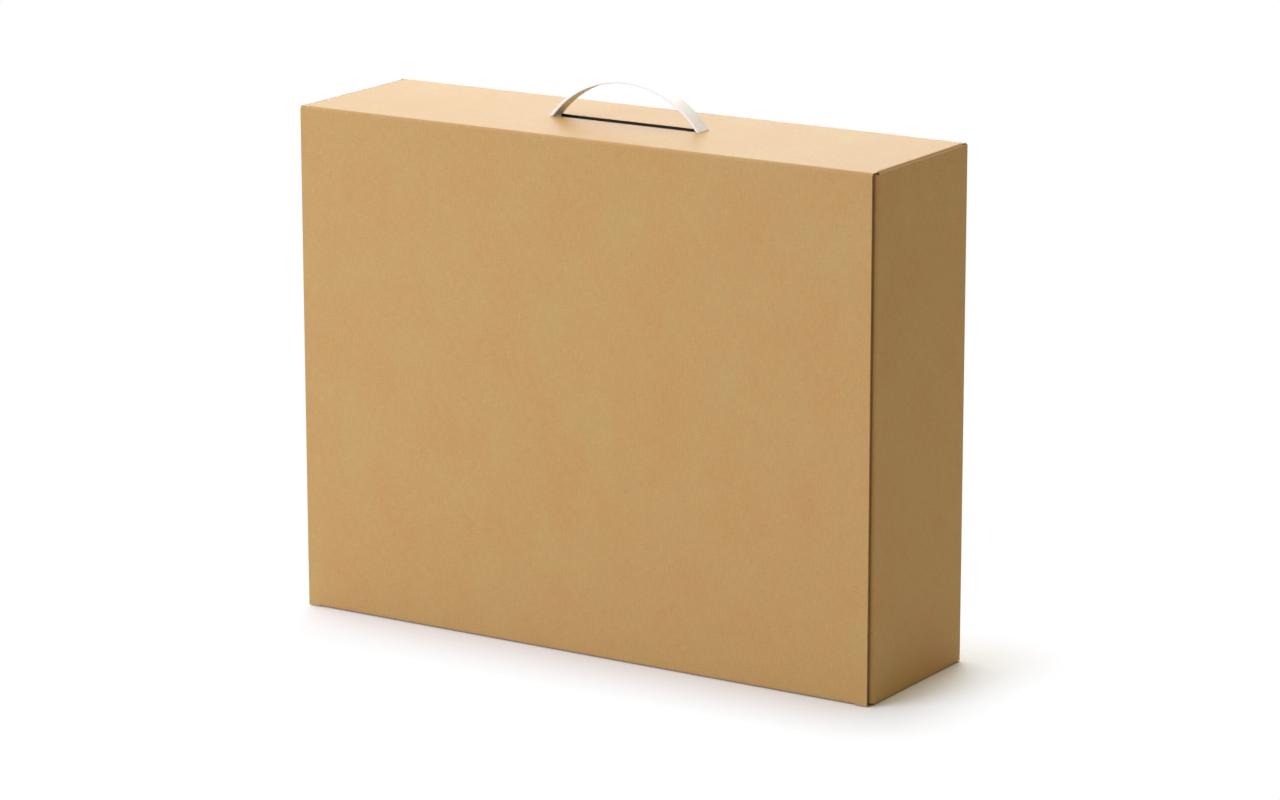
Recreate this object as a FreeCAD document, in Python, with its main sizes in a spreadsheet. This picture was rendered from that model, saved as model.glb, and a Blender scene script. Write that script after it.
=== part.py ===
import FreeCAD, Part
import math
import os
import re
import Sketcher

# Carrying case folded from one blank of thin corrugated board, with a moulded strap handle.
# Millimetres. Z is up, the front (lid) faces -Y, and the origin is the middle of the bottom.
# The tray is the back panel with the top and bottom walls, whose end flaps are caught inside the
# rolled side walls. The lid hangs from the top wall's near fold and covers the walls' near edges.

Vector = FreeCAD.Vector
Rotation = FreeCAD.Rotation

SIZES = (
    ("width", 480.0, "case, outside, left to right"),
    ("depth", 132.0, "case, outside, lid face to back face"),
    ("height", 376.0, "case, outside, floor to top face"),
    ("board", 1.5, "thickness of the corrugated board"),
    ("ply_gap", 0.2, "air between the plies of a side wall"),
    ("fold_inner", 1.0, "inner radius of the tray's folds and of the lid's hinge fold"),
    ("tuck_fold_inner", 0.4, "inner radius of the fold between the lid and its tuck flap"),
    ("roll_setback", 4.0, "rolled edges of the side walls, behind the lid's face"),
    ("wall_drop", 1.0, "top and bottom edges of the outer plies, short of the case's height"),
    ("flap_length", 90.0, "corner flaps, from their fold to the free edge"),
    ("flap_relief", 2.0, "die-cut relief at each side of a corner flap"),
    ("tab_length", 34.0, "lock tabs of the inner plies, along the height"),
    ("tab_spacing", 210.0, "distance between the middles of a ply's two lock tabs"),
    ("tab_recess", 0.3, "ends of the lock tabs, below the back face"),
    ("slot_clearance", 0.3, "room round a lock tab in its slot"),
    ("hinge_gap", 0.3, "running gap between the top wall and the lid's hinge fold"),
    ("lid_inset", 2.0, "side edges of the lid, inside the side walls' outer faces"),
    ("floor_gap", 0.4, "lower edge of the lid, above the floor"),
    ("tuck_gap", 0.3, "clearance of the tuck flap over the bottom wall's near edge"),
    ("tuck_length", 45.0, "tuck flap, from its fold to the free edge"),
    ("tuck_inset", 7.0, "each end of the tuck flap, inside the side wall's inner face"),
    ("tuck_corner", 14.0, "corner radius of the tuck flap"),
    ("tuck_rise", 16.0, "degrees that the tuck flap rises from its fold"),
    ("handle_setback", 3.0, "handle and slit, behind the middle of the depth"),
    ("grip_span", 120.0, "strap, between the inner faces of its feet"),
    ("grip_rise", 29.0, "underside of the strap's middle, above the top face"),
    ("strap_width", 14.0, "strap, front to back"),
    ("strap_thickness", 2.5, "strap, underside to top"),
    ("strap_bevel", 0.6, "bevel of the strap's long edges"),
    ("slit_width", 10.0, "die-cut slit for the strap's necks, front to back"),
    ("neck_clearance", 0.3, "room round a neck in the slit"),
    ("neck_thickness", 2.6, "necks, along the slit"),
    ("lift", 4.0, "travel of the handle before its heads meet the top wall"),
    ("head_length", 9.0, "heads under the top wall, along the slit"),
    ("head_thickness", 2.0, "heads, top to bottom"),
)

# Lengths that follow from the sizes above, each written once.
DERIVED = {
    "half_width": "(width / 2)",
    "half_depth": "(depth / 2)",
    "fold_outer": "(fold_inner + board)",
    "tuck_outer": "(tuck_fold_inner + board)",
    "side_wall": "(3 * board + 2 * ply_gap)",
    "side_inside": "(half_width - side_wall)",
    "flap_face": "(half_width - board - ply_gap)",
    "roll_front": "(roll_setback - half_depth)",
    "roll_middle": "(roll_front + side_wall / 2)",
    "flap_near": "(roll_middle + flap_relief)",
    "flap_far": "(half_depth - fold_outer - flap_relief)",
    "ply_low": "(board + ply_gap)",
    "ply_high": "(height - board - ply_gap)",
    "hinge_edge": "(fold_outer + hinge_gap - half_depth)",
    "lid_half": "(half_width - lid_inset)",
    "lid_foot": "(floor_gap + tuck_outer)",
    "lid_head": "(height - fold_outer)",
    "tuck_half": "(side_inside - tuck_inset)",
    "tuck_turn": "(tuck_rise * 1 deg)",
    "tuck_start_y": "(tuck_outer * (1 + sin(tuck_turn)) - half_depth)",
    "tuck_start_z": "(lid_foot - tuck_outer * cos(tuck_turn))",
    "bottom_edge": "(tuck_start_y + (board + tuck_gap - tuck_start_z) / tan(tuck_turn))",
    "grip_radius": "((grip_span * grip_span / 4 + grip_rise * grip_rise) / (2 * grip_rise))",
    "grip_sink": "(grip_radius - grip_rise)",
    "neck_reach": "(grip_span / 2 + neck_thickness)",
    "neck_drop": "(board + lift)",
}

# For each fold axis, the directions of the angles 0 and 90 degrees, and the axis itself.
FOLD_AXES = {
    "x": (Vector(0, 1, 0), Vector(0, 0, 1), Vector(1, 0, 0)),
    "y": (Vector(0, 0, 1), Vector(1, 0, 0), Vector(0, 1, 0)),
    "z": (Vector(1, 0, 0), Vector(0, 1, 0), Vector(0, 0, 1)),
}
RIGHT_ANGLE = 90
EDGE_TOLERANCE = 0.01

doc = FreeCAD.newDocument("carrying_case")
sheet = doc.addObject("Spreadsheet::Sheet", "Sizes")
for row, (alias, value, note) in enumerate(SIZES, 1):
    sheet.set("A%d" % row, alias)
    sheet.set("B%d" % row, str(value))
    sheet.set("C%d" % row, note)
    sheet.setAlias("B%d" % row, alias)
doc.recompute()


def bound(formula):
    """The formula with derived lengths written out and the sheet's name before each alias."""
    words = re.compile(r"[a-z_]{4,}")
    while any(word in DERIVED for word in words.findall(formula)):
        formula = words.sub(lambda found: DERIVED.get(found[0], found[0]), formula)
    aliases = {alias for alias, value, note in SIZES}
    return words.sub(lambda found: ("Sizes." + found[0]) if found[0] in aliases else found[0], formula)


def bind(thing, **formulas):
    """Binds properties of a document object to formulas on the sheet."""
    for name, formula in formulas.items():
        thing.setExpression(name, bound(formula))


def move(thing, place, rotation=Rotation()):
    """Puts an object at a place whose three coordinates are formulas."""
    thing.Placement = FreeCAD.Placement(Vector(), rotation)
    for axis, formula in zip("xyz", place):
        thing.setExpression("Placement.Base." + axis, bound(formula))


def panel(name, across, along, up):
    """Flat board between two values on each axis."""
    board = doc.addObject("Part::Box", name)
    for side, (low, high) in zip(("Length", "Width", "Height"), (across, along, up)):
        bind(board, **{side: "(%s) - (%s)" % (high, low)})
    move(board, (across[0], along[0], up[0]))
    return board


def bar(name, axis, centre, radius, length, start=0, turn="360"):
    """Round bar, or a sector of one, along an axis from its centre point."""
    angle_0, angle_90, along = FOLD_AXES[axis]
    rod = doc.addObject("Part::Cylinder", name)
    bind(rod, Radius=radius, Height=length)
    rod.setExpression("Angle", bound(turn))
    facing = Rotation(angle_0, angle_90, along, "ZXY") * Rotation(Vector(0, 0, 1), start)
    move(rod, centre, facing)
    return rod


def fuse(name, pieces):
    """One board from pieces that meet face to face."""
    joined = doc.addObject("Part::MultiFuse", name)
    joined.Shapes = pieces
    joined.Refine = True
    return joined


def cut(name, base, tool):
    """The base without the tool."""
    trimmed = doc.addObject("Part::Cut", name)
    trimmed.Base = base
    trimmed.Tool = tool
    trimmed.Refine = True
    return trimmed


def fold(name, axis, centre, outer, length, start, turn="90"):
    """Bent board: a sector of a ring one board thick, from the start angle through the turn."""
    outside = bar(name + "_outside", axis, centre, outer, length, start, turn)
    inside = bar(name + "_inside", axis, centre, "(%s) - board" % outer, length)
    return cut(name, outside, inside)


def flap(name, length, breadth, face, corner):
    """Flat flap one board thick, with two rounded corners on its far edge.

    Its length runs along Y and its breadth along X, both from the origin, and face is the low side
    of its thickness.
    """
    thickness = (face, "(%s) + board" % face)
    inner_edge = "(%s) - (%s)" % (length, corner)
    inner_breadth = (corner, "(%s) - (%s)" % (breadth, corner))
    body = panel(name + "_body", ("0", breadth), ("0", inner_edge), thickness)
    edge = panel(name + "_edge", inner_breadth, (inner_edge, length), thickness)
    rounds = [bar("%s_corner_%d" % (name, count), "z", (spot, inner_edge, face), corner, "board")
              for count, spot in enumerate(inner_breadth)]
    return fuse(name, [body, edge] + rounds)


def mirrored(name, source):
    """The same pieces on the left."""
    copy = doc.addObject("Part::Mirroring", name)
    copy.Source = source
    copy.Base = Vector(0, 0, 0)
    copy.Normal = Vector(1, 0, 0)
    return copy


def corner_flap(name, wall_low, wall_near, fold_height, start, low, high):
    """End of the top or bottom wall: the fold, the flap in the side wall, and the wall's two corners."""
    turn_x = "flap_face - fold_outer"
    length = "flap_far - flap_near"
    bend = fold(name + "_fold", "y", (turn_x, "flap_near", fold_height), "fold_outer", length, start)
    leaf = panel(name + "_leaf", ("flap_face - board", "flap_face"), ("flap_near", "flap_far"), (low, high))
    wall = (wall_low, "(%s) + board" % wall_low)
    ends = (turn_x, "flap_face")
    back_corner = panel(name + "_back_corner", ends, ("flap_far", "half_depth - fold_outer"), wall)
    front_corner = panel(name + "_front_corner", ends, (wall_near, "flap_near"), wall)
    return [bend, leaf, back_corner, front_corner]


def side_wall():
    """Right side wall: back fold, outer ply, rolled near edge, inner ply with its lock tabs."""
    outer_ply = panel("outer_ply", ("half_width - board", "half_width"),
                      ("roll_middle", "half_depth - fold_outer"), ("wall_drop", "height - wall_drop"))
    back_fold = fold("back_fold", "z", ("half_width - fold_outer", "half_depth - fold_outer", "fold_outer"),
                     "fold_outer", "height - 2 * fold_outer", 0)
    rolled_edge = fold("rolled_edge", "z", ("half_width - side_wall / 2", "roll_middle", "ply_low"),
                       "side_wall / 2", "ply_high - ply_low", -2 * RIGHT_ANGLE, "180")
    inner = ("side_inside", "side_inside + board")
    inner_ply = panel("inner_ply", inner, ("roll_middle", "half_depth - board - ply_gap"),
                      ("ply_low", "ply_high"))
    tabs = [panel("lock_tab_%d" % count, inner,
                  ("half_depth - board - ply_gap", "half_depth - tab_recess"),
                  ("height / 2 + %s * tab_spacing / 2 - tab_length / 2" % side,
                   "height / 2 + %s * tab_spacing / 2 + tab_length / 2" % side))
            for count, side in enumerate(("-1", "1"))]
    return [outer_ply, back_fold, rolled_edge, inner_ply] + tabs


def lock_slots():
    """The slots in the back panel, one round each lock tab of the right side wall."""
    return [panel("lock_slot_%d" % count,
                  ("side_inside - slot_clearance", "side_inside + board + slot_clearance"),
                  ("half_depth - 2 * board", "half_depth + board"),
                  ("height / 2 + %s * tab_spacing / 2 - tab_length / 2 - slot_clearance" % side,
                   "height / 2 + %s * tab_spacing / 2 + tab_length / 2 + slot_clearance" % side))
            for count, side in enumerate(("-1", "1"))]


def handle_slit():
    """The slit through the top wall, round both necks of the strap."""
    reach = "(neck_reach + neck_clearance)"
    return panel("handle_slit", ("-1 * " + reach, reach),
                 ("handle_setback - slit_width / 2", "handle_setback + slit_width / 2"),
                 ("height - 2 * board", "height + board"))


def make_tray():
    """Back panel, top and bottom walls, corner flaps and rolled side walls, as one folded blank."""
    half_wall = "(flap_face - fold_outer)"
    half_back = "(half_width - fold_outer)"
    wall_span = ("-1 * " + half_wall, half_wall)
    back_span = ("-1 * " + half_back, half_back)
    fold_length = "2 * " + half_back
    back_line = "half_depth - fold_outer"
    top_wall = panel("top_wall", wall_span, ("hinge_edge", back_line), ("height - board", "height"))
    bottom_wall = panel("bottom_wall", wall_span, ("bottom_edge", back_line), ("0", "board"))
    back_panel = panel("back_panel", back_span, ("half_depth - board", "half_depth"),
                       ("fold_outer", "height - fold_outer"))
    top_fold = fold("top_fold", "x", ("-1 * " + half_back, back_line, "height - fold_outer"),
                    "fold_outer", fold_length, 0)
    bottom_fold = fold("bottom_fold", "x", ("-1 * " + half_back, back_line, "fold_outer"),
                       "fold_outer", fold_length, -RIGHT_ANGLE)
    top_end = corner_flap("top_end", "height - board", "hinge_edge", "height - fold_outer", 0,
                          "height - fold_outer - flap_length", "height - fold_outer")
    bottom_end = corner_flap("bottom_end", "0", "bottom_edge", "fold_outer", RIGHT_ANGLE,
                             "fold_outer", "fold_outer + flap_length")
    right_side = fuse("right_side", top_end + bottom_end + side_wall())
    left_side = mirrored("left_side", right_side)
    blank = fuse("blank", [top_wall, bottom_wall, back_panel, top_fold, bottom_fold, right_side, left_side])
    right_slots = fuse("right_slots", lock_slots())
    left_slots = mirrored("left_slots", right_slots)
    openings = fuse("openings", [right_slots, left_slots, handle_slit()])
    return cut("tray", blank, openings)


def make_lid():
    """Front panel with its hinge fold and tuck flap, as one folded leaf."""
    face = ("-1 * half_depth", "board - half_depth")
    front = panel("front_panel", ("-1 * lid_half", "lid_half"), face, ("lid_foot", "lid_head"))
    hinge_fold = fold("hinge_fold", "x", ("-1 * lid_half", "fold_outer - half_depth", "lid_head"),
                      "fold_outer", "2 * lid_half", RIGHT_ANGLE)
    tuck_centre = ("-1 * tuck_half", "tuck_outer - half_depth", "lid_foot")
    tuck_fold = fold("tuck_fold", "x", tuck_centre, "tuck_outer", "2 * tuck_half",
                     -2 * RIGHT_ANGLE, "90 deg + tuck_turn")
    tuck_flap = flap("tuck_flap", "tuck_length", "2 * tuck_half", "-1 * tuck_outer", "tuck_corner")
    move(tuck_flap, tuck_centre, Rotation(Vector(1, 0, 0), 1))
    tuck_flap.setExpression("Placement.Rotation.Angle", bound("tuck_turn"))
    right_corner = panel("right_corner", ("tuck_half", "lid_half"), face, ("floor_gap", "lid_foot"))
    left_corner = mirrored("left_corner", right_corner)
    return fuse("lid", [front, hinge_fold, tuck_fold, tuck_flap, right_corner, left_corner])


def sheet_value(formula):
    """The present value of a formula."""
    return float(sheet.evalExpression(bound(formula)))


def origin_plane(body, role):
    """One of the body's own three origin planes."""
    return next(plane for plane in body.Origin.OriginFeatures if plane.Role == role)


def sketch_on(body, role, name, height=None):
    """Empty sketch on one of the body's own origin planes, or at a height above it."""
    sketch = body.newObject("Sketcher::SketchObject", name)
    sketch.AttachmentSupport = [(origin_plane(body, role), "")]
    sketch.MapMode = "FlatFace"
    if height:
        sketch.setExpression("AttachmentOffset.Base.z", bound(height))
    return sketch


def measure(sketch, name, kind, where, formula):
    """Adds a named dimension to a sketch and binds it to a formula."""
    index = sketch.addConstraint(Sketcher.Constraint(kind, *where, sheet_value(formula)))
    sketch.renameConstraint(index, name)
    sketch.setExpression("Constraints." + name, bound(formula))


def draw_rectangle(sketch, left, right, breadth):
    """Rectangle from left to right, centred on the X axis."""
    ends = (sheet_value(left), sheet_value(right))
    half = sheet_value(breadth) / 2
    corners = [Vector(ends[0], -half), Vector(ends[1], -half), Vector(ends[1], half), Vector(ends[0], half)]
    following = [1, 2, 3, 0]
    for corner, after in enumerate(following):
        sketch.addGeometry(Part.LineSegment(corners[corner], corners[after]))
    for side, after in enumerate(following):
        sketch.addConstraint(Sketcher.Constraint("Coincident", side, 2, after, 1))
    for kind, line in (("Horizontal", 0), ("Horizontal", 2), ("Vertical", 3)):
        sketch.addConstraint(Sketcher.Constraint(kind, line))
    sketch.addConstraint(Sketcher.Constraint("Symmetric", 1, 1, 1, 2, -1))
    measure(sketch, "left", "DistanceX", (-1, 1, 0, 1), left)
    measure(sketch, "right", "DistanceX", (-1, 1, 1, 1), right)
    measure(sketch, "breadth", "DistanceY", (1, 1, 1, 2), breadth)


def draw_strap(sketch):
    """Arched strip between two arcs round one centre, cut level with the top face."""
    radius, sink, thickness = (sheet_value(word) for word in ("grip_radius", "grip_sink", "strap_thickness"))
    centre = Vector(0, -sink, 0)
    feet = []
    for size in (radius, radius + thickness):
        angle = math.asin(sink / size)
        arc = Part.ArcOfCircle(Part.Circle(centre, Vector(0, 0, 1), size), angle, math.pi - angle)
        sketch.addGeometry(arc)
        feet.append(math.sqrt(size * size - sink * sink))
    sketch.addGeometry(Part.LineSegment(Vector(feet[0], 0, 0), Vector(feet[1], 0, 0)))
    sketch.addGeometry(Part.LineSegment(Vector(-feet[0], 0, 0), Vector(-feet[1], 0, 0)))
    for arc in (0, 1):
        for end in (1, 2):
            sketch.addConstraint(Sketcher.Constraint("PointOnObject", arc, end, -1))
            sketch.addConstraint(Sketcher.Constraint("Coincident", end + 1, arc + 1, arc, end))
    sketch.addConstraint(Sketcher.Constraint("Coincident", 1, 3, 0, 3))
    sketch.addConstraint(Sketcher.Constraint("PointOnObject", 0, 3, -2))
    measure(sketch, "inner_radius", "Radius", (0,), "grip_radius")
    measure(sketch, "outer_radius", "Radius", (1,), "grip_radius + strap_thickness")
    measure(sketch, "sink", "DistanceY", (0, 3, -1, 1), "grip_sink")


def pad(body, sketch, length, name):
    """Pads a sketch downwards."""
    feature = body.newObject("PartDesign::Pad", name)
    feature.Profile = sketch
    feature.Reversed = True
    bind(feature, Length=length)
    return feature


def make_handle():
    """Arched strap with a neck and a head under each foot, moulded in one piece."""
    body = doc.addObject("PartDesign::Body", "carry_handle")
    profile = sketch_on(body, "XZ_Plane", "strap_profile")
    draw_strap(profile)
    strap = body.newObject("PartDesign::Pad", "strap")
    strap.Profile = profile
    strap.Midplane = True
    bind(strap, Length="strap_width")
    doc.recompute()
    bow = sheet_value("grip_radius") - EDGE_TOLERANCE
    long_edges = ["Edge%d" % count for count, edge in enumerate(strap.Shape.Edges, 1)
                  if isinstance(edge.Curve, Part.Circle) and edge.Curve.Radius > bow]
    bevel = body.newObject("PartDesign::Chamfer", "bevelled_edges")
    bevel.Base = (strap, long_edges)
    bind(bevel, Size="strap_bevel")
    neck_sketch = sketch_on(body, "XY_Plane", "neck_sketch")
    draw_rectangle(neck_sketch, "grip_span / 2", "neck_reach", "slit_width - 2 * neck_clearance")
    neck = pad(body, neck_sketch, "neck_drop", "neck")
    head_sketch = sketch_on(body, "XY_Plane", "head_sketch", "-1 * neck_drop")
    middle = "neck_reach - neck_thickness / 2"
    draw_rectangle(head_sketch, middle + " - head_length / 2", middle + " + head_length / 2", "strap_width")
    head = pad(body, head_sketch, "head_thickness", "head")
    pair = body.newObject("PartDesign::Mirrored", "other_end")
    pair.Originals = [neck, head]
    pair.MirrorPlane = (origin_plane(body, "YZ_Plane"), [""])
    body.Tip = pair
    move(body, ("0", "handle_setback", "height"))
    return body


def check(objects):
    """Stops if any object failed to build or any piece isn't one valid solid."""
    for thing in doc.Objects:
        if {"Invalid", "Error"} & set(thing.State):
            raise RuntimeError("%s failed: %s" % (thing.Name, thing.State))
    for piece in objects:
        if piece.Shape.isNull() or not piece.Shape.isValid() or len(piece.Shape.Solids) != 1:
            raise RuntimeError("%s isn't one valid solid" % piece.Label)


pieces = [make_tray(), make_lid(), make_handle()]
doc.recompute()
check(pieces)
os.makedirs("parts", exist_ok=True)
for piece in pieces:
    piece.Shape.exportStep("parts/%s.step" % piece.Label)
    print(piece.Label, "volume", round(piece.Shape.Volume), "faces", len(piece.Shape.Faces))
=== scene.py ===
import math
import bpy
import numpy as np
from mathutils import Matrix, Vector


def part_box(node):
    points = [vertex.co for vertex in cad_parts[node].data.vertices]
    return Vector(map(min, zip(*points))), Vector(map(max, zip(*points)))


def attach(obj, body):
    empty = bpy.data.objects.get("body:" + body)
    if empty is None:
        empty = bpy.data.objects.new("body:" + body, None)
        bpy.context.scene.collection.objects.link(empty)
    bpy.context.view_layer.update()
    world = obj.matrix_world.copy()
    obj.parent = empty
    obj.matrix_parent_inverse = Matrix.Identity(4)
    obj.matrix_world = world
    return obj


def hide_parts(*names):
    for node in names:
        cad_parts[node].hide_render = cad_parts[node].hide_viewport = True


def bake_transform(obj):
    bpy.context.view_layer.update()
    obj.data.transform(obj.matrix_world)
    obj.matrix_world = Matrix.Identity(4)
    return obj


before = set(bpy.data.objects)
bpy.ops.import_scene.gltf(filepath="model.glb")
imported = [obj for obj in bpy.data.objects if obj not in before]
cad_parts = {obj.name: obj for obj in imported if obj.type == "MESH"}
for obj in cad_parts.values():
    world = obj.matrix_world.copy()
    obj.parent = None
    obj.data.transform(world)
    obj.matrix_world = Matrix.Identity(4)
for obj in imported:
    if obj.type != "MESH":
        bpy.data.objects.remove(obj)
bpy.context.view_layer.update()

# Carrying case of thin kraft board with a white strap handle, in metres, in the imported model's frame.
# The tray and the lid are one die-cut board, bent along its folds with the thickness inside. Distances
# on the flat board are the pieces' UV map, so the paper's grain follows the board round its folds.

HALF_WIDTH, HALF_DEPTH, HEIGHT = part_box("tray")[1]
LID_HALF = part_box("lid")[1][0]
HANDLE_LOW, HANDLE_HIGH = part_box("carry_handle")

# The board and its folds; a fold's size is the radius of its outer face.
BOARD = 0.0015
FLUTE_PITCH = 0.0033
PLY_GAP = 0.0002
RUNNING_GAP = 0.0003
FOLD = 0.0025
TUCK_FOLD = 0.0019
RIGHT_ANGLE = math.pi / 2

# The tray: rolled side walls, corner flaps caught inside them, lock tabs in slots in the back.
SIDE_WALL = 3 * BOARD + 2 * PLY_GAP
SIDE_INSIDE = HALF_WIDTH - SIDE_WALL
FLAP_FACE = HALF_WIDTH - BOARD - PLY_GAP
ROLL_SETBACK = 0.004
ROLL_FRONT = ROLL_SETBACK - HALF_DEPTH
ROLL_MIDDLE = ROLL_FRONT + SIDE_WALL / 2
OUTER_PLY_LOW = 0.001
INNER_PLY_LOW = BOARD + PLY_GAP
HALF_WALL = FLAP_FACE - FOLD
HALF_BACK = HALF_WIDTH - FOLD
BACK_LINE = HALF_DEPTH - FOLD
FLAP_RELIEF = 0.002
FLAP_NEAR = ROLL_MIDDLE + FLAP_RELIEF
FLAP_FAR = BACK_LINE - FLAP_RELIEF
FLAP_LENGTH = 0.09
TAB_RECESS = 0.0003
SLOT_ROOM = RUNNING_GAP
TAB_LOW, TAB_HIGH = 0.088, 0.122      # a lock tab's ends, from the middle of the height
SLOT_INSIDE = SIDE_INSIDE - SLOT_ROOM
SLOT_OUTSIDE = SIDE_INSIDE + BOARD + SLOT_ROOM
SLIT_HALF = 0.0629
SLIT_MIDDLE = (HANDLE_LOW[1] + HANDLE_HIGH[1]) / 2
SLIT_HALF_WIDTH = 0.005
SLIT_NEAR, SLIT_FAR = SLIT_MIDDLE - SLIT_HALF_WIDTH, SLIT_MIDDLE + SLIT_HALF_WIDTH

# The lid: its hinge fold is a piece of its own, with a strip of flat board on both sides. The tuck
# flap leaves its fold at a height TUCK_LOW, and rises over the near edge of the bottom wall.
HINGE_MARGIN = 0.0022
HINGE_EDGE = FOLD + RUNNING_GAP - HALF_DEPTH
HINGE_START = HINGE_EDGE + HINGE_MARGIN
LID_HEAD = HEIGHT - FOLD
LID_START = LID_HEAD - HINGE_MARGIN
FLOOR_GAP = 0.0004
LID_FOOT = FLOOR_GAP + TUCK_FOLD
TUCK_LENGTH = 0.045
TUCK_INSET = 0.007
TUCK_HALF = SIDE_INSIDE - TUCK_INSET
TUCK_CORNER = 0.014
TUCK_RISE = math.radians(16)
TUCK_START = TUCK_FOLD * (1 + math.sin(TUCK_RISE)) - HALF_DEPTH
TUCK_LOW = LID_FOOT - TUCK_FOLD * math.cos(TUCK_RISE)
BOTTOM_EDGE = TUCK_START + (BOARD + RUNNING_GAP - TUCK_LOW) / math.tan(TUCK_RISE)

# The mesh: the spacing of its lines on flat board and round a fold, the distance at which two points
# are the same, and the angle above which an edge breaks the shading. The panels sag inwards a little.
FLAT_STEP = 0.006
FOLD_STEP = 0.0004
CLOSE = 1e-6
CREASE_ANGLE = math.radians(40)
PANEL_SAG = 0.0005
SAG_MARGIN = 0.05
X, Y, Z = np.eye(3)


def lines(*stops, step=FLAT_STEP):
    """Grid lines through every stop, each stretch between two stops divided evenly."""
    parts = [np.array(stops[:1], float)]
    for low, high in zip(stops[:-1], stops[1:]):
        count = max(1, math.ceil(abs(high - low) / step - CLOSE))
        parts.append(np.linspace(low, high, count + 1)[1:])
    return np.concatenate(parts)


def joined(*runs):
    """One list of grid lines from runs that each start where the last one ends."""
    return np.concatenate([runs[0]] + [run[1:] for run in runs[1:]])


def both_sides(half):
    """Grid lines on both sides of zero, from those on the positive side, which start at zero."""
    return np.concatenate([-half[:0:-1], half])


def middles(stops):
    """The middle of each cell between grid lines."""
    return (stops[1:] + stops[:-1]) / 2


def arc(radius, turn=RIGHT_ANGLE):
    """A fold as a run of board: its length on the outer face, and its turn."""
    return radius * turn, turn


def bend(runs, reach):
    """Outer face of board bent along its length, and its normal, at each reach from its start.

    Both are pairs (along, out). Each run is (length, turn). A straight run goes on along the heading.
    A bent one stays one radius, its length over its turn, from a centre behind the face.
    """
    place = np.zeros((len(reach), 2))
    normal = np.zeros((len(reach), 2))
    spot, angle, begin = np.zeros(2), 0.0, 0.0
    for length, turn in runs:
        here = reach >= begin - CLOSE
        part = np.minimum(reach[here] - begin, length)
        swept = angle + turn * np.append(part, length) / length
        facing = np.stack([np.sin(swept), np.cos(swept)], 1)
        if turn:
            start = np.array([math.sin(angle), math.cos(angle)])
            spots = spot + length / turn * (facing - start)
        else:
            heading = np.array([math.cos(angle), -math.sin(angle)])
            spots = spot + np.append(part, length)[:, None] * heading
        place[here], normal[here] = spots[:-1], facing[:-1]
        spot, angle, begin = spots[-1], angle + turn, begin + length
    return place, normal


def patch(origin, along, out, across, runs, reach, side, keep, flat, sink=0.0):
    """Grid of board that bends along one direction and is straight across it.

    A point of the outer face is the origin, plus its place on the bend measured along and out, plus
    its distance across. The inner face is one thickness behind it. The sink moves both inwards. The
    kept cells are true in keep, and flat holds the two distances on the flat board.
    """
    place, normal = bend(runs, reach)
    facing = normal[:, None, :1] * along + normal[:, None, 1:] * out
    spots = np.array(origin) + place[:, None, :1] * along + place[:, None, 1:] * out
    side = np.broadcast_to(side, (len(reach), np.shape(side)[-1]))
    sink = np.broadcast_to(sink, side.shape)
    outer = spots + side[..., None] * across - sink[..., None] * facing
    flat = np.stack([np.broadcast_to(part, side.shape) for part in flat], -1)
    inside_out = np.dot(np.cross(along, across), out) < 0
    return outer, outer - BOARD * facing, keep, flat, inside_out


def folded_board(name, patches, materials):
    """Closed mesh of one board from its patches, with cut edges as its second material.

    Each kept cell gives an outer face, an inner face the other way round, and a wall on each side
    that has no kept cell beyond it. Points that coincide become one, and where two patches meet, the
    two walls between them are the same wall, and both are left out.
    """
    points, flats, depths, faces, walls = [], [], [], [], []
    count = 0
    for outer, inner, keep, flat, inside_out in patches:
        rows, columns = outer.shape[:2]
        upper = np.arange(rows * columns).reshape(rows, columns) + count
        lower = upper + rows * columns
        count += 2 * rows * columns
        points += [outer.reshape(-1, 3), inner.reshape(-1, 3)]
        flats += [flat.reshape(-1, 2)] * 2
        depths += [np.zeros(rows * columns), np.ones(rows * columns)]
        i, j = np.nonzero(keep)
        ring = [(i, j), (i + 1, j), (i + 1, j + 1), (i, j + 1)]
        turned = -1 if inside_out else 1
        faces.append(np.stack([upper[corner] for corner in ring], 1)[:, ::turned])
        faces.append(np.stack([lower[corner] for corner in ring], 1)[:, ::-turned])
        beyond = np.pad(keep, 1)
        steps = ((0, -1), (1, 0), (0, 1), (-1, 0))
        for edge, (di, dj) in enumerate(steps):
            open_edge = ~beyond[i + 1 + di, j + 1 + dj]
            first = tuple(part[open_edge] for part in ring[edge])
            second = tuple(part[open_edge] for part in ring[(edge + 1) % 4])
            wall = np.stack([upper[first], lower[first], lower[second], upper[second]], 1)
            walls.append(wall[:, ::turned])
    grid = np.round(np.concatenate(points) / CLOSE).astype(np.int64)
    kept, same = np.unique(grid, axis=0, return_index=True, return_inverse=True)[1:]
    same = same.reshape(-1)
    faces = same[np.concatenate(faces)]
    walls = same[np.concatenate(walls)]
    twin, shared = np.unique(np.sort(walls, axis=1), axis=0, return_inverse=True, return_counts=True)[1:]
    walls = walls[shared[twin.reshape(-1)] == 1]
    used, compact = np.unique(np.concatenate([faces, walls]), return_inverse=True)
    source = kept[used]
    cut = np.arange(len(faces) + len(walls)) >= len(faces)
    return make_piece(name, np.concatenate(points)[source], compact.reshape(-1, 4), materials, cut,
                      np.concatenate(flats)[source], np.concatenate(depths)[source])


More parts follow.
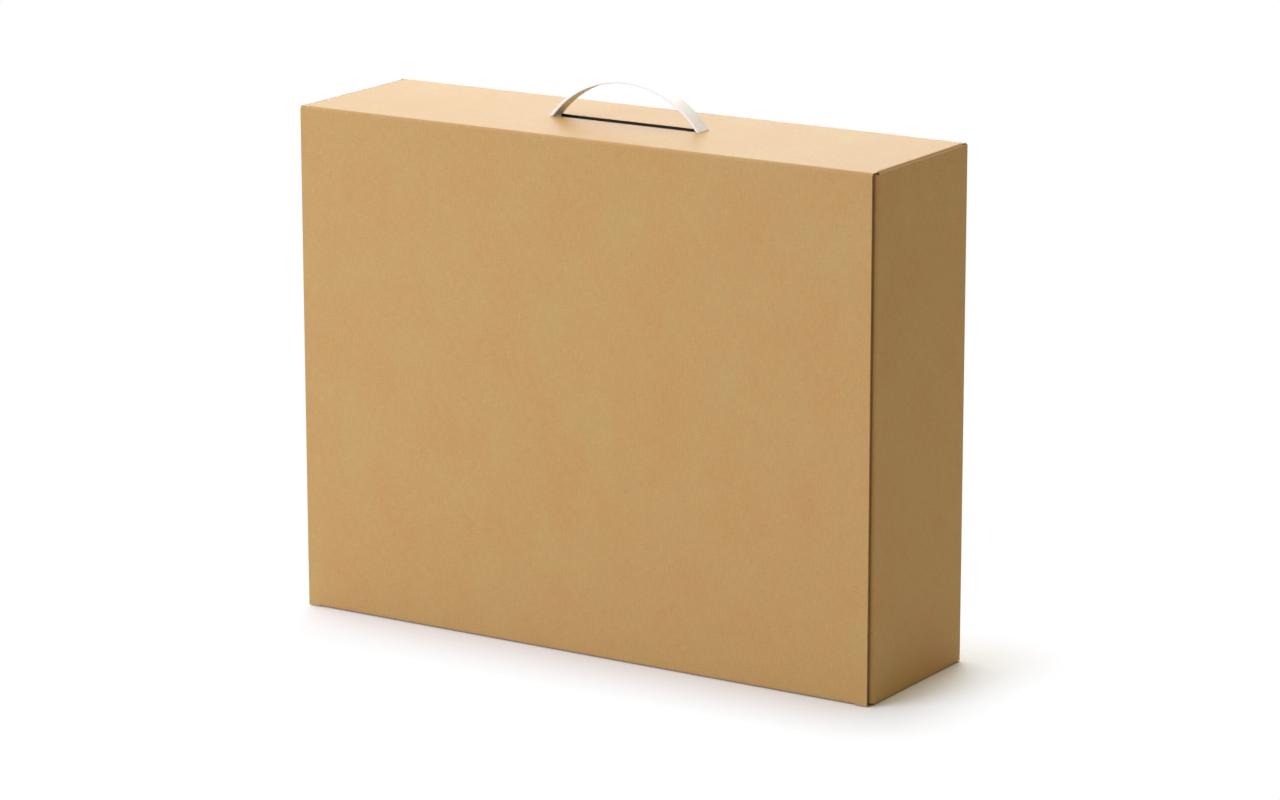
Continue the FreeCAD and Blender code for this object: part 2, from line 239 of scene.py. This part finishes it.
def make_piece(name, points, faces, materials, second=None, flat=None, depth=None):
    """Object at the origin from points and faces.

    The second material's faces are flat, and the others smooth. On board, each point carries its
    place on the flat blank as the UV map and its depth, from 0 outside to 1 inside, and the shading
    breaks at edges sharper than the crease angle.
    """
    mesh = bpy.data.meshes.new(name)
    mesh.from_pydata(points.tolist(), [], [list(face) for face in faces])
    second = np.zeros(len(faces), bool) if second is None else second
    mesh.polygons.foreach_set("use_smooth", ~second)
    for material in materials:
        mesh.materials.append(material)
    mesh.polygons.foreach_set("material_index", second.astype(np.int32))
    if flat is not None:
        corners = np.empty(len(mesh.loops), np.int32)
        mesh.loops.foreach_get("vertex_index", corners)
        layer = mesh.uv_layers.new(name="flat_board")
        layer.data.foreach_set("uv", flat[corners].astype(np.float32).ravel())
        mesh.attributes.new("board_depth", "FLOAT", "POINT").data.foreach_set("value", depth)
        mesh.set_sharp_from_angle(angle=CREASE_ANGLE)
    mesh.update()
    piece = bpy.data.objects.new(name, mesh)
    bpy.context.collection.objects.link(piece)
    return piece


def panel_sink(across, up, width, height, seed):
    """How far a panel lies inside its flat: a sum of three sines that fades out near its edges."""
    draws = np.random.default_rng(seed)
    wave = np.zeros(np.broadcast_shapes(across.shape, up.shape))
    for cycles in (1.3, 2.1, 3.4):
        angle, phase = draws.uniform(0, 2 * math.pi, 2)
        distance = (across * math.cos(angle) + up * math.sin(angle)) / width
        wave += np.sin(2 * math.pi * cycles * distance + phase) / cycles
    fade = np.ones_like(wave)
    for place, size in ((across, width), (up, height)):
        ease = np.clip((size / 2 - np.abs(place)) / SAG_MARGIN, 0, 1)
        fade = fade * ease ** 2 * (3 - 2 * ease)
    return PANEL_SAG * fade * (0.5 + wave / 3.2)


def height_lines(low):
    """Lines up the back and the side walls from the middle, to the lowest of the given stops."""
    return lines(0, TAB_LOW - SLOT_ROOM, TAB_LOW, TAB_HIGH, TAB_HIGH + SLOT_ROOM, *low)


HALF_HEIGHT = HEIGHT / 2
BACK_REACH = HALF_HEIGHT - FOLD
FOLD_LENGTH = FOLD * RIGHT_ANGLE
WALL_REACH = BACK_REACH + FOLD_LENGTH


def spine(up):
    """Half of the back panel, a fold, and the top wall (up is 1) or the bottom wall (up is -1).

    The strip of board is straight, bends once round the fold, and is straight again. Its half width
    changes along it: the back's, then the fold's, then the wall's, which is wider at its corners.
    """
    near = HINGE_EDGE if up > 0 else BOTTOM_EDGE
    back = height_lines([BACK_REACH])
    fold = lines(BACK_REACH, WALL_REACH, step=FOLD_STEP)
    depth = lines(BACK_LINE, FLAP_FAR, SLIT_FAR, SLIT_NEAR, FLAP_NEAR, BOTTOM_EDGE, HINGE_START, HINGE_EDGE)
    reach = joined(back, fold, WALL_REACH + BACK_LINE - depth)
    side = both_sides(lines(0, SLIT_HALF, TUCK_HALF, SLOT_INSIDE, HALF_WALL, SLOT_OUTSIDE, HALF_BACK,
                            LID_HALF, FLAP_FACE))
    r, x = np.meshgrid(middles(reach), np.abs(middles(side)), indexing="ij")
    y = BACK_LINE - (r - WALL_REACH)
    on_wall = r > WALL_REACH
    at_corner = (y > FLAP_FAR) | (y < FLAP_NEAR)
    half = np.where(on_wall & ~at_corner, HALF_WALL, np.where(r > BACK_REACH, FLAP_FACE, HALF_BACK))
    keep = (x < half) & (y > near)
    slot = (x > SLOT_INSIDE) & (x < SLOT_OUTSIDE) & (r > TAB_LOW - SLOT_ROOM) & (r < TAB_HIGH + SLOT_ROOM)
    keep &= ~slot
    if up > 0:
        keep &= ~((x < LID_HALF) & (y < HINGE_START))
        keep &= ~((x < SLIT_HALF) & (y > SLIT_NEAR) & (y < SLIT_FAR))
    runs = [(BACK_REACH, 0), arc(FOLD), (WALL_REACH, 0)]
    sink = panel_sink(side[None, :], up * reach[:, None], 2 * HALF_BACK, 2 * BACK_REACH, 5)
    flat = (side[None, :], up * reach[:, None])
    return patch((0, HALF_DEPTH, HALF_HEIGHT), up * Z, Y, X, runs, reach, side, keep, flat, sink)


def side_wall(right):
    """Side wall (right is 1 or -1): back fold, outer ply, rolled near edge, inner ply, lock tabs."""
    outer_ply = BACK_LINE - ROLL_MIDDLE
    inner_ply = HALF_DEPTH - BOARD - PLY_GAP - ROLL_MIDDLE
    tab = BOARD + PLY_GAP - TAB_RECESS
    runs = [arc(FOLD), (outer_ply, 0), arc(SIDE_WALL / 2, math.pi), (inner_ply + tab, 0)]
    stops = np.cumsum([0, FOLD_LENGTH, outer_ply, runs[2][0], inner_ply, tab])
    bends = [FOLD_STEP, FLAT_STEP, FOLD_STEP, FLAT_STEP, FLAT_STEP]
    reach = joined(*[lines(low, high, step=step) for low, high, step in zip(stops, stops[1:], bends)])
    side = both_sides(height_lines([BACK_REACH, HALF_HEIGHT - INNER_PLY_LOW, HALF_HEIGHT - OUTER_PLY_LOW]))
    r, z = np.meshgrid(middles(reach), np.abs(middles(side)), indexing="ij")
    half = np.where(r < stops[2], HALF_HEIGHT - OUTER_PLY_LOW, HALF_HEIGHT - INNER_PLY_LOW)
    keep = z < half
    keep &= (r < stops[4]) | ((z > TAB_LOW) & (z < TAB_HIGH))
    flat = (right * (HALF_BACK + reach[:, None]), side[None, :])
    origin = (right * HALF_BACK, HALF_DEPTH, HALF_HEIGHT)
    return patch(origin, right * X, Y, Z, runs, reach, side, keep, flat)


def corner_flap(right, up):
    """Flap at one end of the top or bottom wall, folded into the side wall between its plies."""
    reach = joined(lines(0, FOLD_LENGTH, step=FOLD_STEP), lines(FOLD_LENGTH, FOLD_LENGTH + FLAP_LENGTH))
    side = lines(FLAP_FAR, SLIT_FAR, SLIT_NEAR, FLAP_NEAR)
    keep = np.ones((len(reach) - 1, len(side) - 1), bool)
    flat = (right * (HALF_WALL + reach[:, None]), up * (WALL_REACH + BACK_LINE - side[None, :]))
    origin = (right * HALF_WALL, 0, HALF_HEIGHT + up * HALF_HEIGHT)
    return patch(origin, right * X, up * Z, Y, [arc(FOLD), (FLAP_LENGTH, 0)], reach, side, keep, flat)


def tray_board(materials):
    """The whole tray: two halves of the spine, two side walls and four corner flaps."""
    patches = [spine(1), spine(-1), side_wall(1), side_wall(-1)]
    patches += [corner_flap(right, up) for right in (1, -1) for up in (1, -1)]
    return folded_board("tray_board", patches, materials)


HINGE_REACH = WALL_REACH + BACK_LINE - HINGE_START
HINGE_FLAT = HINGE_START - (FOLD - HALF_DEPTH)
LID_REACH = HINGE_REACH + HINGE_FLAT + FOLD_LENGTH + HINGE_MARGIN


def lid_lines():
    """Lines across the lid and its hinge fold."""
    return both_sides(lines(0, TUCK_HALF, LID_HALF))


def hinge_fold(materials):
    """The crease between the top wall and the lid, from one flat margin round to the other."""
    stops = np.cumsum([0, HINGE_FLAT, FOLD_LENGTH, HINGE_MARGIN])
    reach = joined(*[lines(low, high, step=FOLD_STEP) for low, high in zip(stops, stops[1:])])
    side = lid_lines()
    keep = np.ones((len(reach) - 1, len(side) - 1), bool)
    runs = [(HINGE_FLAT, 0), arc(FOLD), (HINGE_MARGIN, 0)]
    flat = (side[None, :], HINGE_REACH + reach[:, None])
    strip = patch((0, HINGE_START, HEIGHT), -Y, Z, X, runs, reach, side, keep, flat)
    return folded_board("hinge_fold", [strip], materials)


def rounded(distance, half, corner):
    """Half breadth of a flap at a distance from its free edge, with a round corner at each end."""
    inset = np.clip(corner - distance, 0, corner)
    return half - corner + np.sqrt(corner ** 2 - inset ** 2)


def front_panel():
    """The lid's face, the fold under it and the tuck flap, which narrows round its two corners."""
    face = LID_START - LID_FOOT
    turn = RIGHT_ANGLE + TUCK_RISE
    stops = np.cumsum([0, face, TUCK_FOLD * turn, TUCK_LENGTH - TUCK_CORNER])
    tip = stops[-1] + TUCK_CORNER * np.sin(np.linspace(0, RIGHT_ANGLE, 12))
    steps = [FLAT_STEP, FOLD_STEP, FLAT_STEP]
    reach = joined(*[lines(low, high, step=step) for low, high, step in zip(stops, stops[1:], steps)], tip)
    side = lid_lines()
    r, x = np.meshgrid(middles(reach), np.abs(middles(side)), indexing="ij")
    keep = x < np.where(r > face, TUCK_HALF, LID_HALF)
    narrowed = rounded(tip[-1] - reach, TUCK_HALF, TUCK_CORNER) / TUCK_HALF
    across = side[None, :] * narrowed[:, None]
    sink = panel_sink(across, reach[:, None] - face / 2, 2 * LID_HALF, face, 8)
    runs = [(face, 0), arc(TUCK_FOLD, turn), (TUCK_LENGTH, 0)]
    flat = (across, LID_REACH + reach[:, None])
    return patch((0, -HALF_DEPTH, LID_START), -Z, -Y, X, runs, reach, across, keep, flat, sink)


def lid_corner(right):
    """Short flat piece of the lid beside the tuck flap's fold (right is 1 or -1)."""
    reach = lines(0, TUCK_FOLD)
    side = np.sort(right * lines(TUCK_HALF, LID_HALF))
    keep = np.ones((len(reach) - 1, len(side) - 1), bool)
    flat = (side[None, :], LID_REACH + LID_START - LID_FOOT + reach[:, None])
    return patch((0, -HALF_DEPTH, LID_FOOT), -Z, -Y, X, [(TUCK_FOLD, 0)], reach, side, keep, flat)


def lid_board(materials):
    """The lid below its hinge fold: front panel, its two lower corners and the tuck flap."""
    return folded_board("lid_board", [front_panel(), lid_corner(1), lid_corner(-1)], materials)


# The handle, one moulded strap: a bow of constant radius over two necks with T-shaped heads. Its
# edges are rounded in steps that leave 1, 0.29 and none of the radius to cut. On the bow, two rims
# stand over a thinner waist, and both fade out within the foot's turn.
GRIP_HALF = 0.06
GRIP_RISE = 0.029
STRAP_HALF_WIDTH = (HANDLE_HIGH[1] - HANDLE_LOW[1]) / 2
STRAP_THICKNESS = HANDLE_HIGH[2] - HEIGHT - GRIP_RISE
NECK_THICKNESS = 0.0026
NECK_HALF_WIDTH = 0.0047
HEAD_HALF_LENGTH = 0.0045
HEAD_THICKNESS = 0.002
GRIP_RADIUS = (GRIP_HALF ** 2 + GRIP_RISE ** 2) / (2 * GRIP_RISE) + STRAP_THICKNESS / 2
GRIP_SINK = GRIP_RADIUS - STRAP_THICKNESS / 2 - GRIP_RISE
SOFT_EDGE = 0.0005
SOFT_STEPS = np.array([1, 0.29, 0])
NECK_FILLET = 0.0004
NECK_OVERLAP = 0.0001
FOOT_BEVEL = 0.0003
FOOT_TURN = 0.006
WAIST = 0.26
RIM_START, RIM_SLOPE = 0.66, 0.16
POINTS_ROUND = 48


def strap_handle(material):
    """The strap as a section carried along a path: up a head and neck, over the bow, and down again.

    A section is a rounded rectangle, thinner between its two rims on the bow. Each station has a
    centre, the direction of the section's thickness, and half sizes. The bow's stations lie on its
    circle, and near a foot their sections turn level with the top wall.
    """
    neck_x = GRIP_HALF + NECK_THICKNESS / 2
    head_low = HANDLE_LOW[2]
    head_high = head_low + HEAD_THICKNESS
    foot = math.asin(GRIP_SINK / GRIP_RADIUS)
    angles = foot + (RIGHT_ANGLE - foot) * np.linspace(0, 1, 46) ** 1.25
    rise = np.clip((angles - foot) * GRIP_RADIUS / FOOT_TURN, 0, 1)
    lean = angles * rise ** 2 * (3 - 2 * rise)
    thickness = STRAP_THICKNESS / 2 / np.cos(angles - lean)
    soft = SOFT_EDGE * SOFT_STEPS
    rows = []
    for height, cut in zip(head_low + soft[::-1], soft):
        rows.append((neck_x, height, 0, HEAD_HALF_LENGTH - cut, STRAP_HALF_WIDTH - cut, 0))
    for height, cut in zip(head_high - soft, soft[::-1]):
        rows.append((neck_x, height, 0, HEAD_HALF_LENGTH - cut, STRAP_HALF_WIDTH - cut, 0))
    neck_low, neck_high = head_high + NECK_FILLET, HEIGHT - NECK_OVERLAP
    for height, extra in ((head_high, NECK_FILLET), (neck_low, 0), (neck_high, 0)):
        rows.append((neck_x, height, 0, NECK_THICKNESS / 2 + extra, NECK_HALF_WIDTH + extra, 0))
    foot_x = GRIP_RADIUS * math.cos(foot)
    rows.append((foot_x, HEIGHT, 0, thickness[0] - FOOT_BEVEL, STRAP_HALF_WIDTH - FOOT_BEVEL, 0))
    for angle, tilt, half, rim in zip(angles, lean, thickness, rise):
        rows.append((GRIP_RADIUS * math.cos(angle), HEIGHT - GRIP_SINK + GRIP_RADIUS * math.sin(angle),
                     tilt, half, STRAP_HALF_WIDTH, rim))
    right = np.array(rows)
    left = right[-2::-1] * (-1, 1, 1, 1, 1, 1)
    left[:, 2] = math.pi - left[:, 2]
    stations = np.concatenate([right, left])
    turn = np.linspace(0, 2 * math.pi, POINTS_ROUND, endpoint=False) + math.pi / POINTS_ROUND
    power = 2 / 7
    wide = np.sign(np.cos(turn)) * np.abs(np.cos(turn)) ** power
    thick = np.sign(np.sin(turn)) * np.abs(np.sin(turn)) ** power
    x, z, tilt, half, width, rim = stations.T[:, :, None]
    rim_ease = np.clip((np.abs(wide) - RIM_START) / RIM_SLOPE, 0, 1)
    waist = 1 - WAIST * rim * (1 - rim_ease ** 2 * (3 - 2 * rim_ease))
    depth = half * thick * waist
    side = SLIT_MIDDLE + width * wide
    points = np.stack([x + depth * np.cos(tilt), side + 0 * x, z + depth * np.sin(tilt)], -1)
    station, place = np.meshgrid(np.arange(len(stations) - 1), np.arange(POINTS_ROUND), indexing="ij")
    base, after = station * POINTS_ROUND, (place + 1) % POINTS_ROUND
    above = base + POINTS_ROUND
    quads = np.stack([base + place, base + after, above + after, above + place], -1)
    first_ring = list(range(POINTS_ROUND - 1, -1, -1))
    last_ring = list(range((len(stations) - 1) * POINTS_ROUND, len(stations) * POINTS_ROUND))
    faces = quads.reshape(-1, 4).tolist() + [first_ring, last_ring]
    return make_piece("strap_handle", points.reshape(-1, 3), faces, [material])


def node(tree, kind, inputs=None, **settings):
    """New shader node with its settings, and its inputs set to values or linked from sockets."""
    made = tree.nodes.new("ShaderNode" + kind)
    for name, value in settings.items():
        setattr(made, name, value)
    for name, value in (inputs or {}).items():
        if isinstance(value, bpy.types.NodeSocket):
            tree.links.new(value, made.inputs[name])
        else:
            made.inputs[name].default_value = value
    return made


def maths(tree, operation, first, second=0.0):
    """Result of a sum on two values or sockets."""
    return node(tree, "Math", {0: first, 1: second}, operation=operation).outputs[0]


def scaled(tree, vector, sizes):
    """A vector times three sizes."""
    return node(tree, "VectorMath", {0: vector, 1: sizes}, operation="MULTIPLY").outputs[0]


def noise(tree, vector, detail=2.0, roughness=0.5):
    """Smooth noise from 0 to 1 whose cells measure about one unit of the vector."""
    made = node(tree, "TexNoise", {"Vector": vector, "Scale": 1.0, "Detail": detail,
                                   "Roughness": roughness})
    return made.outputs["Fac"]


def ramp(tree, value, low, high, to_low=0.0, to_high=1.0):
    """A value's range mapped to another, clamped."""
    made = node(tree, "MapRange", {"Value": value, "From Min": low, "From Max": high,
                                   "To Min": to_low, "To Max": to_high})
    return made.outputs["Result"]


def mixed(tree, factor, first, second):
    """Colour between two colours."""
    made = node(tree, "Mix", {0: factor, 6: first, 7: second}, data_type="RGBA")
    return made.outputs[2]


def times(tree, colour, factor):
    """Colour times a factor."""
    return node(tree, "VectorMath", {0: colour, "Scale": factor}, operation="SCALE").outputs[0]


def new_material(name):
    """Empty material, and its tree of nodes."""
    material = bpy.data.materials.new(name)
    material.use_nodes = True
    material.node_tree.nodes.clear()
    return material, material.node_tree


def finish_material(tree, shader):
    """Joins a shader to a new output."""
    output = tree.nodes.new("ShaderNodeOutputMaterial")
    tree.links.new(shader, output.inputs["Surface"])


# Colours, the range of the kraft's tone, and painted shade on the cut edges in the handle's slit, where the
# case's dark inside shows.
KRAFT_WARM = (0.462, 0.268, 0.099, 1)
KRAFT_COOL = (0.428, 0.277, 0.103, 1)
CLOUD_TONE = 0.06
GRAIN_TONE = 0.12
FLUTE_TONE = 0.006
FLECK_TONE = 0.10
EDGE_PAPER = (0.30, 0.175, 0.068, 1)
# Painted shade: the hollows between the flutes, which the flat cut edge does not have, are coloured dark.
EDGE_HOLLOW_SHADE = (0.16, 0.092, 0.036, 1)
WAVE_HEIGHT = 0.30
SLIT_SHADE_REACH = 0.001
SLIT_SHADE_DEPTH = 0.002
SLIT_SHADE_NEAR = HINGE_START + 0.01
SLIT_PAINTED_SHADE = 0.12
PLASTIC_WHITE = (0.92, 0.92, 0.915, 1)
PLASTIC_WARM = (0.89, 0.885, 0.875, 1)


def kraft_liner():
    """Kraft paper: tangled fibres, faint flute lines, cloudy mottling and a few dark flecks.

    Its tone is a sum of noises on the flat board, each stretched its own way, and of a sine across it.
    """
    material, tree = new_material("kraft_liner")
    flat = node(tree, "UVMap", uv_map="flat_board").outputs["UV"]
    clouds = noise(tree, scaled(tree, flat, (22, 15, 1)), 5.0, 0.65)
    grain_across = noise(tree, scaled(tree, flat, (160, 1500, 1)), 3.0, 0.6)
    grain_up = noise(tree, scaled(tree, flat, (1300, 130, 1)), 3.0, 0.6)
    fibres = noise(tree, scaled(tree, flat, (900, 1100, 1)), 3.0, 0.7)
    u = node(tree, "SeparateXYZ", {0: flat}).outputs[0]
    flute = maths(tree, "SINE", maths(tree, "MULTIPLY", u, 2 * math.pi / FLUTE_PITCH))
    tone = ramp(tree, clouds, 0.2, 0.8, -CLOUD_TONE, CLOUD_TONE)
    grain = maths(tree, "ADD", maths(tree, "ADD", grain_across, grain_up), fibres)
    tone = maths(tree, "ADD", tone, ramp(tree, grain, 1.1, 1.9, -GRAIN_TONE, GRAIN_TONE))
    tone = maths(tree, "ADD", tone, maths(tree, "MULTIPLY", flute, FLUTE_TONE))
    fleck = noise(tree, scaled(tree, flat, (420, 700, 1)), 1.0, 0.5)
    tone = maths(tree, "SUBTRACT", tone, ramp(tree, fleck, 0.74, 0.80, 0.0, FLECK_TONE))
    warm = mixed(tree, ramp(tree, clouds, 0.35, 0.65), KRAFT_WARM, KRAFT_COOL)
    colour = times(tree, warm, maths(tree, "ADD", tone, 1.0))
    ridges = maths(tree, "MULTIPLY", flute, 0.00001)
    height = maths(tree, "ADD", maths(tree, "MULTIPLY", grain, 0.00002), ridges)
    bump = node(tree, "Bump", {"Height": height, "Distance": 1.0, "Strength": 0.8})
    shader = node(tree, "BsdfPrincipled", {"Base Color": colour, "Roughness": 0.5, "IOR": 1.45,
                                           "Specular IOR Level": 0.1, "Normal": bump.outputs[0]})
    finish_material(tree, shader.outputs[0])
    return material


def cut_edge():
    """Cut edge of the board: two liners, the wavy paper between them, and dark hollows.

    The wave is a sine of the distance on the flat board, against the depth in the board; its hollows
    are painted shade. In the handle's slit the edge is darkened with painted shade, for the dark
    inside of the case.
    """
    material, tree = new_material("cut_board_edge")
    flat = node(tree, "UVMap", uv_map="flat_board").outputs["UV"]
    depth = node(tree, "Attribute", attribute_name="board_depth").outputs["Fac"]
    u = node(tree, "SeparateXYZ", {0: flat}).outputs[0]
    wave = maths(tree, "SINE", maths(tree, "MULTIPLY", u, 2 * math.pi / FLUTE_PITCH))
    middle = maths(tree, "ADD", maths(tree, "MULTIPLY", wave, WAVE_HEIGHT), 0.5)
    off_middle = maths(tree, "ABSOLUTE", maths(tree, "SUBTRACT", depth, middle))
    medium = ramp(tree, off_middle, 0.10, 0.20, 1.0, 0.0)
    off_centre = maths(tree, "ABSOLUTE", maths(tree, "SUBTRACT", depth, 0.5))
    liner = ramp(tree, off_centre, 0.30, 0.36)
    paper = maths(tree, "MAXIMUM", medium, liner)
    fibres = noise(tree, scaled(tree, flat, (1800, 1800, 1)), 2.0, 0.6)
    shade = maths(tree, "ADD", maths(tree, "MULTIPLY", fibres, 0.3), 0.85)
    place = node(tree, "SeparateXYZ", {0: node(tree, "TexCoord").outputs["Object"]}).outputs
    past_slit = maths(tree, "SUBTRACT", maths(tree, "ABSOLUTE", place[0]), SLIT_HALF)
    round_slit = maths(tree, "MULTIPLY", maths(tree, "LESS_THAN", past_slit, SLIT_SHADE_REACH),
                       maths(tree, "GREATER_THAN", place[2], HEIGHT - SLIT_SHADE_DEPTH))
    at_slit = maths(tree, "MULTIPLY", round_slit, maths(tree, "GREATER_THAN", place[1], SLIT_SHADE_NEAR))
    # Painted shade: the cut edges in the handle's slit are darkened to stand for the dark inside of the
    # case.
    shade = maths(tree, "MULTIPLY", shade, ramp(tree, at_slit, 0.0, 1.0, 1.0, SLIT_PAINTED_SHADE))
    colour = times(tree, mixed(tree, paper, EDGE_HOLLOW_SHADE, EDGE_PAPER), shade)
    bump = node(tree, "Bump", {"Height": maths(tree, "MULTIPLY", paper, 0.0003), "Distance": 1.0,
                               "Strength": 0.7})
    shader = node(tree, "BsdfPrincipled", {"Base Color": colour, "Roughness": 0.85,
                                           "Normal": bump.outputs[0]})
    finish_material(tree, shader.outputs[0])
    return material


def white_plastic():
    """Moulded white plastic: satin, a little cloudy, with a fine spark-eroded grain."""
    material, tree = new_material("white_plastic")
    place = node(tree, "TexCoord").outputs["Object"]
    clouds = noise(tree, scaled(tree, place, (60, 60, 60)), 2.0, 0.5)
    grain = noise(tree, scaled(tree, place, (2600, 2600, 2600)), 2.0, 0.6)
    colour = mixed(tree, clouds, PLASTIC_WARM, PLASTIC_WHITE)
    bump = node(tree, "Bump", {"Height": maths(tree, "MULTIPLY", grain, 0.00003), "Distance": 1.0,
                               "Strength": 0.6})
    roughness = ramp(tree, grain, 0.3, 0.7, 0.34, 0.46)
    shader = node(tree, "BsdfPrincipled", {"Base Color": colour, "Roughness": roughness, "IOR": 1.49,
                                           "Normal": bump.outputs[0]})
    finish_material(tree, shader.outputs[0])
    return material


# The studio: a floor just under the case that is white a little way out, and warm light all round.
FLOOR_COLOUR = (0.92, 0.93, 0.95, 1)
FLOOR_DROP = 0.0002
FLOOR_HALF = 30.0
WHITE_NEAR, WHITE_FAR = 0.003, 0.075
ROOM_LIGHT = (0.400, 0.338, 0.205, 1)


def seen_plainly(tree):
    """One for rays of the camera, mirrors and glass, which see a plain white background."""
    rays = node(tree, "LightPath").outputs
    either = maths(tree, "MAXIMUM", rays["Is Camera Ray"], rays["Is Glossy Ray"])
    return maths(tree, "MAXIMUM", either, rays["Is Transmission Ray"])


def studio_floor():
    """Pale floor that keeps the case's shadow and fades to plain white by the distance from its base."""
    material, tree = new_material("studio_floor")
    place = node(tree, "TexCoord").outputs["Object"]
    aside = node(tree, "VectorMath", {0: place}, operation="ABSOLUTE").outputs[0]
    base = (HALF_WIDTH, HALF_DEPTH, 0)
    past = node(tree, "VectorMath", {0: aside, 1: base}, operation="SUBTRACT").outputs[0]
    outside = node(tree, "VectorMath", {0: past, 1: (0, 0, 0)}, operation="MAXIMUM").outputs[0]
    distance = node(tree, "VectorMath", {0: outside}, operation="LENGTH").outputs["Value"]
    far = ramp(tree, distance, WHITE_NEAR, WHITE_FAR)
    diffuse = node(tree, "BsdfDiffuse", {"Color": FLOOR_COLOUR})
    white = node(tree, "Emission", {"Color": (1, 1, 1, 1), "Strength": 1.0})
    factor = maths(tree, "MULTIPLY", far, seen_plainly(tree))
    both = node(tree, "MixShader", {0: factor, 1: diffuse.outputs[0], 2: white.outputs[0]})
    finish_material(tree, both.outputs[0])
    corners = np.array([(-1, -1), (1, -1), (1, 1), (-1, 1)]) * FLOOR_HALF
    points = np.column_stack([corners, np.full(4, -FLOOR_DROP)])
    floor = make_piece("studio_floor", points, [[0, 1, 2, 3]], [material])


def pale_world():
    """Even warm light from all round, seen as plain white."""
    world = bpy.data.worlds.new("pale_room")
    bpy.context.scene.world = world
    world.use_nodes = True
    tree = world.node_tree
    tree.nodes.clear()
    colour = mixed(tree, seen_plainly(tree), ROOM_LIGHT, (1, 1, 1, 1))
    background = node(tree, "Background", {"Color": colour, "Strength": 1.0})
    output = tree.nodes.new("ShaderNodeOutputWorld")
    tree.links.new(background.outputs[0], output.inputs["Surface"])


def softbox(name, place, size, power, colour):
    """Square area light that faces the middle of the case."""
    data = bpy.data.lights.new(name, "AREA")
    data.size = size
    data.energy = power
    data.color = colour
    lamp = bpy.data.objects.new(name, data)
    lamp.location = place
    aim = Vector((0, 0, HALF_HEIGHT)) - lamp.location
    lamp.rotation_euler = aim.to_track_quat("-Z", "Y").to_euler()
    bpy.context.collection.objects.link(lamp)


# The camera, fitted to the case's corners in the photograph.
CAMERA_PLACE = (1.8332, -2.8781, 1.0190)
CAMERA_AZIMUTH = math.radians(32.34)
CAMERA_ELEVATION = math.radians(13.91)
CAMERA_ROLL = math.radians(-0.06)
SENSOR_WIDTH = 36.0
CAMERA_LENS = 137.41


def photo_camera():
    """Long lens at the photograph's place; its axes follow from azimuth, elevation and roll."""
    a, e = CAMERA_AZIMUTH, CAMERA_ELEVATION
    back = Vector((math.sin(a) * math.cos(e), -math.cos(a) * math.cos(e), math.sin(e)))
    level = Vector((math.cos(a), math.sin(a), 0))
    above = back.cross(level)
    right = math.cos(CAMERA_ROLL) * level + math.sin(CAMERA_ROLL) * above
    up = back.cross(right)
    data = bpy.data.cameras.new("photo_camera")
    data.sensor_fit = "HORIZONTAL"
    data.sensor_width = SENSOR_WIDTH
    data.lens = CAMERA_LENS
    data.clip_end = 100.0
    camera = bpy.data.objects.new("photo_camera", data)
    turn = Matrix((right, up, back)).transposed().to_4x4()
    camera.matrix_world = Matrix.Translation(CAMERA_PLACE) @ turn
    bpy.context.collection.objects.link(camera)
    bpy.context.scene.camera = camera


photo_camera()
liner = kraft_liner()
edge = cut_edge()

tray = tray_board([liner, edge])
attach(tray, "case")
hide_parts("tray")

lid = lid_board([liner, edge])
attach(lid, "lid")
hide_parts("lid")

hinge = hinge_fold([liner, edge])
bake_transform(hinge)
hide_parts("lid")

handle = strap_handle(white_plastic())
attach(handle, "handle")
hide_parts("carry_handle")

studio_floor()
pale_world()
softbox("overhead_light", (-0.6, 0.5, 2.3), 2.2, 42.0, (1.0, 1.04, 1.14))
softbox("front_light", (-1.7, -2.6, 1.5), 2.0, 77.0, (0.97, 1.04, 1.33))
softbox("rear_light", (-1.35, 2.7, 1.15), 2.0, 48.0, (0.98, 1.02, 1.05))
bpy.context.scene.view_settings.view_transform = "Standard"
